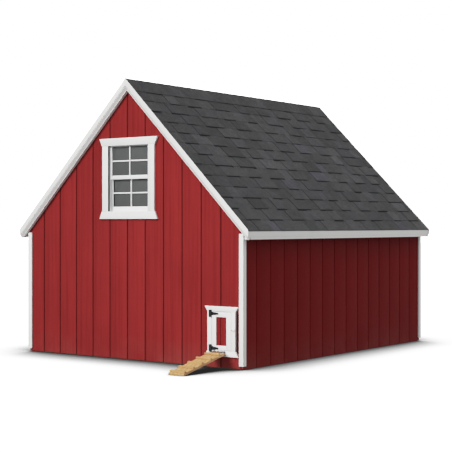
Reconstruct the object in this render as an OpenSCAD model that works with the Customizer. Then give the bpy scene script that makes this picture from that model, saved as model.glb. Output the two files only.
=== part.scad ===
// Walk-in chicken coop: a timber-framed gable house on a joisted floor, with a sliding
// window, a small hinged door and ramp for the birds, and a full-height keeper's door.
// Origin: centre of the footprint, on the ground. +Z up, -Y out of the front gable,
// +X to the right-hand wall. The roof pitch is 45 degrees, so every roof line is
// z = apex - |x|.

/* [House] */
// Width over the side sidings
body_w = 2438; // [2400:1:2480]
// Length over the gable sidings
body_l = 3048; // [2900:1:3200]
// Height of the side walls, to the top of their upper plates
plate_top = 1105; // [1090:1:1140]
// Distance from the side siding to the face of the eave fascia
eave_over = 81; // [60:1:110]

/* [Timber] */
// Thickness of framing timber
stud_t = 38; // [35:1:45]
// Depth of framing timber
stud_d = 89; // [84:1:95]
// Thickness of the floor deck
deck_t = 16; // [12:1:22]
// Thickness of the roof deck boards
roof_deck_t = 12; // [9:1:16]
// Thickness of the layered shingles
shingle_t = 8; // [6:1:14]

/* [Siding] */
// Thickness of the grooved siding sheets
siding_t = 12; // [10:1:16]
// Spacing of the vertical grooves
groove_pitch = 203.2; // [150:0.1:250]
// Width of a groove
groove_w = 12; // [8:1:14]
// Depth of a groove
groove_d = 5; // [2:1:6]
// Sideways offset of the gable grooves from the middle of the wall
gable_shift = -18; // [-40:1:20]
// Lengthways offset of the side grooves from the middle of the wall
side_shift = -12; // [-40:1:40]
// Height of the siding's bottom edge
siding_z = 8; // [5:1:36]

/* [Trim] */
// Thickness of window, door and rake trim boards
trim_t = 19; // [16:1:22]
// Width of each face of a corner trim
corner_w = 44; // [40:1:46]
// Thickness of the corner trim boards
corner_t = 13; // [10:1:16]
// Height of the corner trims' bottom ends
corner_z = 30; // [10:1:60]
// Width of the rake boards, square to the roof slope
rake_w = 59; // [50:1:80]

/* [Window] */
// Half width of the opening between the casings
win_half = 228.6; // [220:0.1:232]
// Height of the sill trim's top edge
win_z0 = 1291; // [1270:1:1310]
// Height of the head trim's bottom edge
win_z1 = 1865; // [1830:1:1880]

/* [Bird door] */
// Distance of the door's centre from the middle of the wall
pop_x = 1013; // [1005:1:1013]
// Width of the leaf
pop_w = 198; // [190:1:198]
// Height of the leaf
pop_h = 314; // [290:1:330]
// Height of the leaf's bottom edge
pop_z = 150; // [148:1:160]

/* [Ramp] */
// Width of the ramp board
ramp_w = 154; // [150:1:162]
// Length of the ramp from its hinge pin to its foot
ramp_l = 556; // [500:1:600]
// Number of cross cleats
ramp_cleats_n = 5; // [4:1:6]

/* [Keeper's door] */
// Width of the leaf
door_w = 762; // [720:1:770]
// Height of the leaf
door_h = 1594; // [1560:1:1600]

/* [Hidden] */
$fn = 48;

gap = 0.3;
root2 = sqrt(2);
cut = 50;

// House planes
half_w = body_w / 2;
half_l = body_l / 2;
frame_x = half_w - siding_t;
frame_y = half_l - siding_t;
inner_x = frame_x - stud_d;
inner_y = frame_y - stud_d;
deck_top = stud_d + deck_t;
sole_top = deck_top + stud_t;

// Roof lines, as the height of each sloping plane at x = 0
heel_h = 94;
rafter_v = stud_d * root2;
rafter_apex = plate_top + heel_h + frame_x;
under_apex = rafter_apex - rafter_v;
deck_apex = rafter_apex + roof_deck_t * root2;
roof_apex = deck_apex + shingle_t * root2;
rake_apex = deck_apex - rake_w * root2;
tail_z = plate_top + heel_h - rafter_v;

// Eave and rake
soffit_t = 18;
soffit_z = tail_z - soffit_t;
eave_x = half_w + eave_over;
fascia_x = eave_x - trim_t;
packer_t = 13;
rake_y = half_l + packer_t;
shingle_over = 7;
mould_t = 17;
mould_w = 34;
drip_t = 2;
drip_lip = 6;
ridge_t = 19;
ridge_d = 140;
ridge_z = rafter_apex - ridge_t / 2 - gap;
cap_w = 150;
cap_v = 11;

// Framing layout
joist_bays = 10;
stud_bays = 8;
tie_z = plate_top + 775;
jack_x = 235;
win_rough_z0 = win_z0 - 14;
win_rough_z1 = win_z1 + 16;

// Window
case_w = 70;
flare = 34;
head_over = 6;
win_head_h = 66;
frame_t = 10;
frame_half = win_half + 2.4;
frame_z0 = win_rough_z0 + 2;
frame_z1 = win_rough_z1 - 2;
frame_depth = 84;
sash_half = frame_half - frame_t - 0.5;
sash_t = 15;
stile_w = 14;
top_rail_h = 11;
meet_rail_h = 34;
low_rail_h = 44;
upper_y = -half_l + 8;
lower_y = upper_y + sash_t + 4;
upper_z1 = frame_z1 - frame_t - 0.5;
lower_z0 = frame_z0 + frame_t + 0.5;
meet_z = (upper_z1 + lower_z0) / 2 - meet_rail_h / 2 + 10;
muntin_w = 12;
muntin_t = 8;
glass_t = 3;

// Bird door
pop_face = half_l + trim_t;
pop_lip = 12;
pop_reveal = 1.5;
pop_case_w = 41.5;
pop_flare = 30;
pop_case_half = pop_w / 2 + pop_reveal;
pop_trim_half = pop_case_half + pop_case_w;
pop_sill_h = 48;
pop_head_h = 42.5;
pop_head_z = pop_z + pop_h + 2;
pop_stile = 47;
pop_top_rail = 44;
pop_low_rail = 38;
pop_panel_t = 7;
pop_left = pop_x - pop_w / 2;
pop_hinge_x = pop_left - 0.8;
pop_axis_off = 5;
pop_hinge_y = -pop_face - pop_axis_off;
pop_hinge_zs = [pop_z + 14, pop_z + pop_h - 16];
pop_button_x = pop_x + pop_case_half + 13.5;
pop_button_z = pop_z + 172;
pop_button_l = 29;
pop_button_t = 8;

// Keeper's door
door_face = half_l + 25;
door_z = deck_top + 3;
door_half = door_w / 2;
door_lip = 12;
door_case_w = 70;
door_flare = 26;
door_case_half = door_half + 3;
door_trim_half = door_case_half + door_case_w;
door_head_z = door_z + door_h + 3;
door_stile = 90;
door_low_rail = 130;
door_panel_t = 11.4;
door_mid_z = 860;
door_hinge_x = -door_half - 1.5;
door_axis_off = 6.5;
door_hinge_y = door_face + door_axis_off;
door_hinge_zs = [door_z + 75, door_mid_z + 45, door_z + door_h - 45];
door_clear_x = door_half - door_lip + 45;
handle_x = door_half - 45;
handle_z = door_mid_z + 45;
spindle_r = 5;
cam_l = 55;
run_fit = 0.05;

// Hinge hardware
plate_t = 2.5;
screw_r = 2;
screw_hole_r = 2.2;
screw_head_r = 3.4;
pop_knuckle_r = 4.5;
pop_knuckle_h = 22;
pop_pin_r = 2;
pop_plate_h = 60;
pop_plate_w = 25;
pop_strap_l = 76;
pop_plate_holes = [-22, 0, 22];
pop_strap_holes = [20, 38, 58];
pop_wood_y = pop_axis_off - gap / 2;
door_knuckle_r = 6;
door_knuckle_h = 36;
door_pin_r = 3;
door_plate_h = 100;
door_plate_w = 44;
door_strap_l = 300;
door_plate_holes = [-38, 0, 38];
door_strap_holes = [32, 110, 190, 260];
door_wood_y = door_axis_off - gap / 2;

// Ramp
ramp_t = 19;
ramp_x0 = pop_left + 6;
ramp_pin_y = -pop_face - 23;
ramp_pin_z = 141;
ramp_pin_r = 3;
ramp_drop = 4;
ramp_foot_r = sqrt(ramp_l * ramp_l + (ramp_t + ramp_drop) * (ramp_t + ramp_drop));
ramp_angle = asin(ramp_pin_z / ramp_foot_r) - atan((ramp_t + ramp_drop) / ramp_l);
cleat_h = 15;
cleat_first = 75;
lug_xs = [ramp_x0 + 27, ramp_x0 + ramp_w - 30];

// Interior fittings
roost_ys = [-1067, -762];
roost_z = 700;
nest_n = 4;
nest_pitch = 305;
nest_t = 12;
nest_y0 = -600;
nest_z = 560;
nest_depth = 305;
nest_back_h = 400;
nest_front_h = 240;
nest_back_x = -inner_x + gap;
nest_front_x = nest_back_x + nest_t + nest_depth;

// ---------- shared shapes ----------

// Box between two corners
module slab(lo, hi) {
    translate(lo) cube(hi - lo);
}

// An outline in X and Z, carried from y0 to y1
module along_y(y0, y1) {
    translate([0, y1, 0]) rotate([90, 0, 0]) linear_extrude(y1 - y0) children();
}

// An outline in Y and Z, carried from x0 to x1
module along_x(x0, x1) {
    translate([x0, 0, 0]) rotate([90, 0, 90]) linear_extrude(x1 - x0) children();
}

module both_sides() {
    children();
    mirror([1, 0, 0]) children();
}

// Cylinder along Y from y0 to y1
module rod_y(r, x, z, y0, y1) {
    translate([x, y1, z]) rotate([90, 0, 0]) cylinder(r = r, h = y1 - y0);
}

// Cylinder along X from x0 to x1
module rod_x(r, y, z, x0, x1) {
    translate([x0, y, z]) rotate([0, 90, 0]) cylinder(r = r, h = x1 - x0);
}

// Outline of a band that follows the right-hand roof slope, with plumb ends
function slope_band(top, bottom, x0, x1) =
    [[x0, bottom - x0], [x1, bottom - x1], [x1, top - x1], [x0, top - x0]];

function station(i, bays) = (i / bays - 0.5) * (2 * frame_y - stud_t);

// Trim board whose ends flare from half width h0 at z0 to h1 at z1
module flared_board(cx, z0, z1, h0, h1) {
    polygon([[cx - h0, z0], [cx + h0, z0], [cx + h1, z1], [cx - h1, z1]]);
}

// ---------- floor ----------

module floor_rim() {
    color("saddlebrown") both_sides()
        slab([frame_x - stud_t, -frame_y, 0], [frame_x, frame_y, stud_d]);
}

module floor_joists() {
    reach = frame_x - stud_t - gap;
    color("burlywood") for (i = [0:joist_bays])
        slab([-reach, station(i, joist_bays) - stud_t / 2, 0],
             [reach, station(i, joist_bays) + stud_t / 2, stud_d]);
}

module floor_deck() {
    color("tan") slab([-frame_x, -frame_y, stud_d + gap], [frame_x, frame_y, deck_top]);
}

// ---------- wall frames ----------

module side_wall() {
    slab([inner_x, -frame_y, deck_top + gap], [frame_x, frame_y, sole_top]);
    slab([inner_x, -frame_y, plate_top - stud_t], [frame_x, frame_y, plate_top]);
    for (i = [0:stud_bays])
        slab([inner_x, station(i, stud_bays) - stud_t / 2, sole_top + gap],
             [frame_x, station(i, stud_bays) + stud_t / 2, plate_top - stud_t - gap]);
}

module right_wall_frame() {
    color("burlywood") side_wall();
}

module left_wall_frame() {
    color("burlywood") mirror([1, 0, 0]) side_wall();
}

// Stud of a gable wall, given as the front wall's, with its foot at z0
module gable_stud(x, z0, z1) {
    slab([x - stud_t / 2, -frame_y, z0], [x + stud_t / 2, -inner_y, z1]);
}

// Stud that runs up to the underside of the end rafters
module peak_stud(x, z0) {
    lo = abs(x) - stud_t / 2;
    hi = abs(x) + stud_t / 2;
    top = under_apex - gap * root2;
    side = x < 0 ? 1 : 0;
    mirror([side, 0, 0]) along_y(-frame_y, -inner_y)
        polygon([[lo, z0], [hi, z0], [hi, top - hi], [lo, top - lo]]);
}

// Level timber of a gable wall
module gable_rail(x0, x1, z0) {
    slab([x0, -frame_y, z0], [x1, -inner_y, z0 + stud_t]);
}

module front_wall_frame() {
    end_x = inner_x - gap;
    pitch = (2 * end_x - stud_t) / 6;
    jamb_x = pop_left + pop_lip - stud_t / 2 - gap;
    foot_z = sole_top + 2 * gap;
    color("burlywood") {
        gable_rail(-end_x, end_x, deck_top + gap);
        gable_rail(-end_x, end_x, plate_top - stud_t);
        for (i = [0:5])
            gable_stud(-end_x + stud_t / 2 + i * pitch, foot_z, plate_top - stud_t - gap);
        gable_stud(jamb_x, foot_z, plate_top - stud_t - gap);
        gable_rail(jamb_x + stud_t / 2 + gap, end_x, pop_head_z);
        for (x = [jack_x + stud_t / 2, 600, 930]) {
            peak_stud(x, plate_top + gap);
            peak_stud(-x, plate_top + gap);
        }
        gable_rail(-jack_x + gap, jack_x - gap, win_rough_z0 - stud_t);
        gable_rail(-jack_x + gap, jack_x - gap, win_rough_z1);
        gable_stud(0, plate_top + gap, win_rough_z0 - stud_t - gap);
        gable_stud(0, win_rough_z1 + stud_t + gap, ridge_z - ridge_d - gap);
    }
}

module back_wall_frame() {
    end_x = inner_x - gap;
    jamb_x = door_clear_x + stud_t / 2;
    rail_x = door_clear_x + stud_t + gap;
    mid_x = (rail_x + end_x) / 2;
    head_z = door_z + door_h - door_lip + 45;
    color("burlywood") mirror([0, 1, 0]) {
        both_sides() {
            gable_rail(rail_x, end_x, deck_top + gap);
            gable_rail(rail_x, end_x, plate_top - stud_t);
            for (x = [mid_x, end_x - stud_t / 2])
                gable_stud(x, sole_top + 2 * gap, plate_top - stud_t - gap);
            peak_stud(mid_x, plate_top + gap);
            peak_stud(jamb_x, deck_top + gap);
            peak_stud(jamb_x / 2, head_z + stud_t + gap);
        }
        gable_rail(-door_clear_x + gap, door_clear_x - gap, head_z);
        gable_stud(0, head_z + stud_t + gap, ridge_z - ridge_d - gap);
    }
}

// ---------- roof frame ----------

module rafter_outline() {
    ridge_x = ridge_t / 2 + gap;
    tail_x = fascia_x - gap;
    seat = plate_top + gap;
    polygon([
        [ridge_x, rafter_apex - ridge_x],
        [ridge_x, under_apex - ridge_x],
        [under_apex - seat, seat],
        [frame_x + gap, seat],
        [frame_x + gap, tail_z],
        [tail_x, tail_z],
        [tail_x, rafter_apex - tail_x]
    ]);
}

module rafters() {
    color("burlywood") for (i = [0:stud_bays]) both_sides()
        along_y(station(i, stud_bays) - stud_t / 2, station(i, stud_bays) + stud_t / 2)
            rafter_outline();
}

module collar_ties() {
    clear = 10;
    low = rafter_apex - tie_z - clear;
    high = low - stud_d;
    color("burlywood") for (i = [1:2:stud_bays - 1]) {
        y = station(i, stud_bays) + stud_t / 2 + gap;
        along_y(y, y + stud_t)
            polygon([[-low, tie_z], [low, tie_z], [high, tie_z + stud_d], [-high, tie_z + stud_d]]);
    }
}

module ridge_board() {
    color("burlywood")
        slab([-ridge_t / 2, -frame_y, ridge_z - ridge_d], [ridge_t / 2, frame_y, ridge_z]);
}

// ---------- siding ----------

// Groove lines within a gable panel of the given half width
function groove_list(half) = let (n = ceil(half / groove_pitch) - 1)
    [for (i = [-n:n]) i * groove_pitch + gable_shift];

module gable_sheet() {
    top = rafter_apex - gap;
    along_y(-half_l, -frame_y) polygon([
        [-half_w, siding_z], [half_w, siding_z], [half_w, top - half_w],
        [0, top], [-half_w, top - half_w]
    ]);
}

module gable_grooves() {
    for (x = groove_list(half_w))
        slab([x - groove_w / 2, -half_l - 1, 0], [x + groove_w / 2, -half_l + groove_d, roof_apex]);
}

module front_siding() {
    color("firebrick") difference() {
        gable_sheet();
        gable_grooves();
        slab([-frame_half - 1, -half_l - cut, frame_z0 - 1], [frame_half + 1, -inner_y, frame_z1 + 1]);
        slab([pop_left + pop_lip, -half_l - cut, pop_z + pop_lip],
             [pop_left + pop_w - pop_lip, -inner_y, pop_z + pop_h - pop_lip]);
    }
}

module back_siding() {
    clear = door_half - door_lip;
    color("firebrick") mirror([0, 1, 0]) difference() {
        gable_sheet();
        gable_grooves();
        slab([-clear, -half_l - cut, door_z + door_lip],
             [clear, -inner_y, door_z + door_h - door_lip]);
    }
}

module side_sheet() {
    bays = round(body_l / groove_pitch);
    color("firebrick") difference() {
        slab([frame_x + gap, -frame_y + gap, siding_z], [half_w, frame_y - gap, tail_z - gap]);
        for (i = [1:bays - 1]) {
            y = (i - bays / 2) * groove_pitch + side_shift;
            slab([half_w - groove_d, y - groove_w / 2, 0],
                 [half_w + 1, y + groove_w / 2, plate_top]);
        }
    }
}

module right_siding() {
    side_sheet();
}

module left_siding() {
    mirror([1, 0, 0]) side_sheet();
}

// ---------- outside trim ----------

module corner_pair() {
    out_x = half_w + corner_t;
    out_y = half_l + corner_t;
    square_top = rake_apex - out_x - 5;
    color("white") both_sides() {
        slab([out_x - corner_w, -out_y, corner_z], [out_x, -half_l - gap, square_top]);
        slab([half_w + gap, -half_l, corner_z], [out_x, -out_y + corner_w, soffit_z - gap]);
    }
}

module front_corner_trims() {
    corner_pair();
}

module back_corner_trims() {
    mirror([0, 1, 0]) corner_pair();
}

// Rake boards of one gable, with the packing strips that stand them off the siding, the
// mouldings under the shingles' ends and the metal drip edges in front of them
module rake_pair() {
    top = deck_apex - gap;
    face = rake_y + trim_t;
    mould_low = top - mould_w * root2;
    drip_y = face + mould_t + gap;
    foot_x = rake_apex - soffit_z;
    color("white") both_sides() {
        along_y(-face, -rake_y) polygon([
            [gap, top - gap], [gap, rake_apex - gap], [foot_x, soffit_z],
            [eave_x, soffit_z], [eave_x, top - eave_x]
        ]);
        along_y(-rake_y + gap, -half_l - gap)
            polygon(slope_band(rafter_apex - gap, rake_apex, gap, fascia_x - gap));
        along_y(-face - mould_t, -face - gap)
            polygon(slope_band(top, mould_low, gap, eave_x));
        along_y(-drip_y - drip_t, -drip_y)
            polygon(slope_band(roof_apex + drip_lip, mould_low + 8, gap, eave_x + shingle_over));
    }
}

module front_rake_boards() {
    rake_pair();
}

module back_rake_boards() {
    mirror([0, 1, 0]) rake_pair();
}

module fascia() {
    top = deck_apex - gap;
    color("white") along_y(-rake_y + gap, rake_y - gap) polygon([
        [fascia_x, tail_z], [eave_x, tail_z], [eave_x, top - eave_x], [fascia_x, top - fascia_x]
    ]);
}

module right_fascia() {
    fascia();
}

module left_fascia() {
    mirror([1, 0, 0]) fascia();
}

module eave_soffits() {
    color("white") both_sides()
        slab([half_w + gap, -half_l + gap, soffit_z], [eave_x, half_l - gap, tail_z - gap]);
}

// ---------- roof covering ----------

module roof_deck() {
    color("tan") along_y(-rake_y + gap, rake_y - gap)
        polygon(slope_band(deck_apex, rafter_apex + gap, gap, fascia_x - gap));
}

module right_roof_deck() {
    roof_deck();
}

module left_roof_deck() {
    mirror([1, 0, 0]) roof_deck();
}

module shingles() {
    reach = rake_y + trim_t + mould_t;
    color("dimgray") along_y(-reach, reach)
        polygon(slope_band(roof_apex, deck_apex + gap, gap, eave_x + shingle_over));
}

module right_shingles() {
    shingles();
}

module left_shingles() {
    mirror([1, 0, 0]) shingles();
}

module ridge_cap() {
    reach = rake_y + trim_t + mould_t;
    low = roof_apex + gap * root2;
    high = low + cap_v;
    foot = cap_w / root2;
    color("dimgray") along_y(-reach, reach) polygon([
        [0, low], [foot, low - foot], [foot, high - foot],
        [0, high], [-foot, high - foot], [-foot, low - foot]
    ]);
}

// ---------- window ----------

module window_trim() {
    outer = win_half + case_w;
    color("white") {
        both_sides() slab([win_half, -half_l - trim_t, win_z0 + gap],
                          [outer, -half_l - gap, win_z1 - gap]);
        along_y(-half_l - trim_t, -half_l - gap) {
            flared_board(0, win_z1, win_z1 + win_head_h, outer + head_over, outer + flare);
            flared_board(0, win_z0 - win_head_h, win_z0, outer + flare, outer + head_over);
        }
    }
}

module window_frame() {
    y0 = -half_l + gap;
    y1 = y0 + frame_depth;
    inside = frame_half - frame_t;
    bead = 7;
    color("whitesmoke") {
        both_sides() {
            slab([inside, y0, frame_z0], [frame_half, y1, frame_z1]);
            slab([inside - bead, upper_y + sash_t + 0.6, frame_z0 + frame_t + gap],
                 [inside - gap, lower_y - 0.6, frame_z1 - frame_t - gap]);
            slab([inside - bead, lower_y + sash_t + 0.6, frame_z0 + frame_t + gap],
                 [inside - gap, lower_y + sash_t + 12, frame_z1 - frame_t - gap]);
        }
        for (z = [frame_z0, frame_z1 - frame_t])
            slab([-inside + gap, y0, z], [inside - gap, y1, z + frame_t]);
    }
}

// Stiles, rails and glazing bars of a sash
module sash(y, z0, z1, low_h, top_h) {
    open_x = sash_half - stile_w;
    open_z0 = z0 + low_h;
    open_z1 = z1 - top_h;
    mid_z = (open_z0 + open_z1) / 2;
    both_sides() {
        slab([open_x, y, z0], [sash_half, y + sash_t, z1]);
        slab([muntin_w / 2 + gap, y, mid_z - muntin_w / 2],
             [open_x - gap, y + muntin_t, mid_z + muntin_w / 2]);
    }
    slab([-open_x + gap, y, z0], [open_x - gap, y + sash_t, open_z0]);
    slab([-open_x + gap, y, open_z1], [open_x - gap, y + sash_t, z1]);
    slab([-muntin_w / 2, y, open_z0 + gap], [muntin_w / 2, y + muntin_t, open_z1 - gap]);
}

module pane(y, z0, z1, low_h, top_h) {
    open_x = sash_half - stile_w - gap;
    glass_y = y + muntin_t + 0.5;
    color("lightslategray", 0.5)
        slab([-open_x, glass_y, z0 + low_h + gap], [open_x, glass_y + glass_t, z1 - top_h - gap]);
}

module upper_sash() {
    color("white") sash(upper_y, meet_z, upper_z1, meet_rail_h, top_rail_h);
}

module upper_glass() {
    pane(upper_y, meet_z, upper_z1, meet_rail_h, top_rail_h);
}

module lower_sash() {
    lift = 14;
    color("white") {
        sash(lower_y, lower_z0, meet_z + meet_rail_h, low_rail_h, meet_rail_h);
        slab([-60, lower_y + sash_t - 1, lower_z0 + 20], [60, lower_y + sash_t + lift, lower_z0 + 26]);
    }
}

module lower_glass() {
    pane(lower_y, lower_z0, meet_z + meet_rail_h, low_rail_h, meet_rail_h);
}

// ---------- T hinges ----------

// Fixed plate of a T hinge, drawn round the pin's axis: plate towards -X, face at y0
module hinge_plate(r, pin_r, h, w, knuckle, y0, holes) {
    side = r + 0.5;
    color("black") difference() {
        union() {
            translate([-w, y0 - plate_t, -h / 2]) cube([w - side, plate_t, h]);
            for (k = [-1, 1]) {
                z = k > 0 ? knuckle / 2 + 0.3 : -h / 2;
                len = h / 2 - knuckle / 2 - 0.3;
                translate([0, 0, z]) cylinder(r = r, h = len);
                translate([-side - 1, y0 - plate_t, z]) cube([side + 1, plate_t, len]);
            }
        }
        translate([0, 0, -h]) cylinder(r = pin_r + run_fit, h = 2 * h);
        for (z = holes)
            rod_y(screw_hole_r, -(w + side) / 2, z, y0 - 2 * plate_t, y0 + 1);
    }
}

// Moving strap of a T hinge: it tapers away along +X
module hinge_strap(r, pin_r, len, knuckle, root_h, tip_h, y0, holes) {
    side = r + 0.8;
    color("black") difference() {
        union() {
            translate([0, 0, -knuckle / 2]) cylinder(r = r, h = knuckle);
            translate([0, y0 - plate_t, -knuckle / 2]) cube([side + 1, plate_t, knuckle]);
            along_y(y0 - plate_t, y0) polygon([
                [side, -root_h / 2], [len - tip_h / 2, -tip_h / 2], [len, 0],
                [len - tip_h / 2, tip_h / 2], [side, root_h / 2]
            ]);
        }
        translate([0, 0, -knuckle]) cylinder(r = pin_r + run_fit, h = 2 * knuckle);
        for (x = holes)
            rod_y(screw_hole_r, x, 0, y0 - 2 * plate_t, y0 + 1);
    }
}

// Domed screw with its head on the hinge and its shank in the wood, pointing +Y
module wood_screw(x, z, y0, shank) {
    dome_r = screw_head_r + 0.8;
    slot_w = 1;
    slot_l = 4.8;
    translate([x, y0 - plate_t - gap / 2, z]) rotate([90, 0, 0]) difference() {
        union() {
            intersection() {
                translate([0, 0, -2]) sphere(r = dome_r);
                cylinder(r = dome_r, h = dome_r);
            }
            translate([0, 0, -shank]) cylinder(r = screw_r, h = shank + gap);
        }
        translate([-slot_w / 2, -slot_l / 2, 1.4]) cube([slot_w, slot_l, dome_r]);
    }
}

module at_pop_hinges() {
    for (z = pop_hinge_zs) translate([pop_hinge_x, pop_hinge_y, z]) children();
}

// The keeper's door hinges, drawn like the others and turned to face the back
module at_door_hinges() {
    for (z = door_hinge_zs)
        translate([door_hinge_x, door_hinge_y, z]) mirror([0, 1, 0]) children();
}

// ---------- bird door ----------

module pop_door_trim() {
    color("white") {
        for (x0 = [pop_x - pop_trim_half, pop_x + pop_case_half])
            slab([x0, -pop_face, pop_z - 2 + gap], [x0 + pop_case_w, -half_l - gap, pop_head_z - gap]);
        along_y(-pop_face, -half_l - gap) {
            flared_board(pop_x, pop_head_z, pop_head_z + pop_head_h,
                         pop_trim_half, pop_trim_half + pop_flare);
            flared_board(pop_x, pop_z - 2 - pop_sill_h, pop_z - 2,
                         pop_trim_half + pop_flare, pop_trim_half);
        }
    }
}

module pop_door_frame() {
    right = pop_left + pop_w;
    top = pop_z + pop_h;
    back = -half_l - pop_panel_t - gap;
    color("white") {
        for (x0 = [pop_left, right - pop_stile])
            slab([x0, -pop_face, pop_z], [x0 + pop_stile, back, top]);
        slab([pop_left + pop_stile + gap, -pop_face, pop_z],
             [right - pop_stile - gap, back, pop_z + pop_low_rail]);
        slab([pop_left + pop_stile + gap, -pop_face, top - pop_top_rail],
             [right - pop_stile - gap, back, top]);
    }
}

module pop_door_panel() {
    front = -half_l - pop_panel_t;
    groove_x = round(pop_x / groove_pitch) * groove_pitch + gable_shift;
    color("firebrick") difference() {
        slab([pop_left + 0.5, front, pop_z + 0.5],
             [pop_left + pop_w - 0.5, -half_l - 0.6, pop_z + pop_h - 0.5]);
        slab([groove_x - groove_w / 2, front - 1, 0],
             [groove_x + groove_w / 2, front + pop_panel_t / 2, plate_top]);
    }
}

module pop_hinge_plates() {
    at_pop_hinges() hinge_plate(pop_knuckle_r, pop_pin_r, pop_plate_h, pop_plate_w, pop_knuckle_h,
                                pop_wood_y, pop_plate_holes);
}

module pop_hinge_straps() {
    at_pop_hinges() hinge_strap(pop_knuckle_r, pop_pin_r, pop_strap_l, pop_knuckle_h, 30, 12,
                                pop_wood_y, pop_strap_holes);
}

module pop_hinge_pins() {
    color("black") at_pop_hinges() {
        translate([0, 0, -pop_plate_h / 2 - 1]) cylinder(r = pop_pin_r, h = pop_plate_h + 2);
        translate([0, 0, pop_plate_h / 2 + 0.1]) cylinder(r = pop_pin_r + 1.4, h = 1.6);
    }
}

module pop_strap_screws() {
    color("black") at_pop_hinges() for (x = pop_strap_holes)
        wood_screw(x, 0, pop_wood_y, 9);
}

module pop_latch_button() {
    y1 = -pop_face - 0.4;
    y0 = y1 - pop_button_t;
    r = 8;
    color("white") difference() {
        union() {
            rod_y(r, pop_button_x, pop_button_z, y0, y1);
            rod_y(r, pop_button_x + pop_button_l - r, pop_button_z, y0, y1);
            slab([pop_button_x, y0, pop_button_z - r],
                 [pop_button_x + pop_button_l - r, y1, pop_button_z + r]);
        }
        rod_y(screw_r + run_fit, pop_button_x, pop_button_z, y0 - 1, y1 + 1);
    }
}

module pop_latch_screw() {
    front = -pop_face - 0.4 - pop_button_t - 0.2;
    color("silver") {
        rod_y(screw_r, pop_button_x, pop_button_z, front - 1, -pop_face + 14);
        intersection() {
            translate([pop_button_x, front + 2, pop_button_z]) sphere(r = 5);
            rod_y(6, pop_button_x, pop_button_z, front - 4, front);
        }
    }
}

// ---------- ramp ----------

// Places shapes drawn with u outwards along the ramp as -Y and its surface's normal as +Z
module on_ramp() {
    translate([0, ramp_pin_y, ramp_pin_z]) rotate([ramp_angle, 0, 0]) children();
}

module ramp_board() {
    color("peru") on_ramp() slab([ramp_x0, -ramp_l, -ramp_drop - ramp_t],
                                 [ramp_x0 + ramp_w, -9, -ramp_drop]);
}

module ramp_cleats() {
    last = ramp_l - 26;
    pitch = (last - cleat_first) / (ramp_cleats_n - 1);
    color("peru") on_ramp() for (i = [0:ramp_cleats_n - 1])
        slab([ramp_x0 + 2, -cleat_first - i * pitch - 9.5, -ramp_drop + gap],
             [ramp_x0 + ramp_w - 2, -cleat_first - i * pitch + 9.5, -ramp_drop + cleat_h]);
}

module ramp_hinge_bracket() {
    lug_t = 3;
    lug_r = 7;
    face = -pop_face - gap;
    color("dimgray") difference() {
        union() {
            slab([lug_xs[0] - 14, face - 3, pop_z - 44], [lug_xs[1] + 17, face, pop_z - 8]);
            for (x = lug_xs) {
                rod_x(lug_r, ramp_pin_y, ramp_pin_z, x, x + lug_t);
                along_x(x, x + lug_t) polygon([
                    [face - 1, pop_z - 44], [face - 1, ramp_pin_z + lug_r],
                    [ramp_pin_y, ramp_pin_z + lug_r], [ramp_pin_y - lug_r * 0.7, ramp_pin_z - lug_r * 0.7]
                ]);
            }
        }
        rod_x(ramp_pin_r + run_fit, ramp_pin_y, ramp_pin_z, lug_xs[0] - 1, lug_xs[1] + lug_t + 1);
    }
}

module ramp_hinge_eyes() {
    eye_r = 6;
    eye_w = 10;
    color("dimgray") difference() {
        union() for (x = [lug_xs[0] + 3.4, lug_xs[1] - eye_w - 0.4]) {
            rod_x(eye_r, ramp_pin_y, ramp_pin_z, x, x + eye_w);
            on_ramp() slab([x, -52, -ramp_drop + gap], [x + eye_w, 0, -ramp_drop + gap + plate_t]);
        }
        rod_x(ramp_pin_r + run_fit, ramp_pin_y, ramp_pin_z, lug_xs[0], lug_xs[1] + 3);
    }
}

module ramp_hinge_pin() {
    color("silver") {
        rod_x(ramp_pin_r, ramp_pin_y, ramp_pin_z, lug_xs[0] - 3, lug_xs[1] + 6);
        rod_x(ramp_pin_r + 2, ramp_pin_y, ramp_pin_z, lug_xs[0] - 5, lug_xs[0] - 0.3);
    }
}

// ---------- keeper's door ----------

module door_trim() {
    color("white") mirror([0, 1, 0]) {
        both_sides() slab([door_case_half, -door_face, door_z - 3 + gap],
                          [door_trim_half, -half_l - gap, door_head_z - gap]);
        along_y(-door_face, -half_l - gap) {
            flared_board(0, door_head_z, door_head_z + 66, door_trim_half, door_trim_half + door_flare);
            flared_board(0, door_z - 53, door_z - 3, door_trim_half + door_flare, door_trim_half);
        }
    }
}

module door_frame() {
    top = door_z + door_h;
    inner = door_half - door_stile;
    back = -half_l - door_panel_t - gap;
    color("white") mirror([0, 1, 0]) difference() {
        union() {
            both_sides() slab([inner, -door_face, door_z], [door_half, back, top]);
            slab([-inner + gap, -door_face, door_z], [inner - gap, back, door_z + door_low_rail]);
            slab([-inner + gap, -door_face, door_mid_z], [inner - gap, back, door_mid_z + door_stile]);
            slab([-inner + gap, -door_face, top - door_stile], [inner - gap, back, top]);
        }
        rod_y(spindle_r + run_fit, handle_x, handle_z, -door_face - 1, -half_l);
    }
}

module door_panel() {
    front = -half_l - door_panel_t;
    color("firebrick") mirror([0, 1, 0]) difference() {
        slab([-door_half + 0.5, front, door_z + 0.5],
             [door_half - 0.5, -half_l - 0.6, door_z + door_h - 0.5]);
        for (x = groove_list(door_half))
            slab([x - groove_w / 2, front - 1, 0], [x + groove_w / 2, front + groove_d, roof_apex]);
        rod_y(spindle_r + run_fit, handle_x, handle_z, front - 1, -half_l);
    }
}

module door_hinge_plates() {
    at_door_hinges() hinge_plate(door_knuckle_r, door_pin_r, door_plate_h, door_plate_w, door_knuckle_h,
                                 door_wood_y, door_plate_holes);
}

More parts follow.
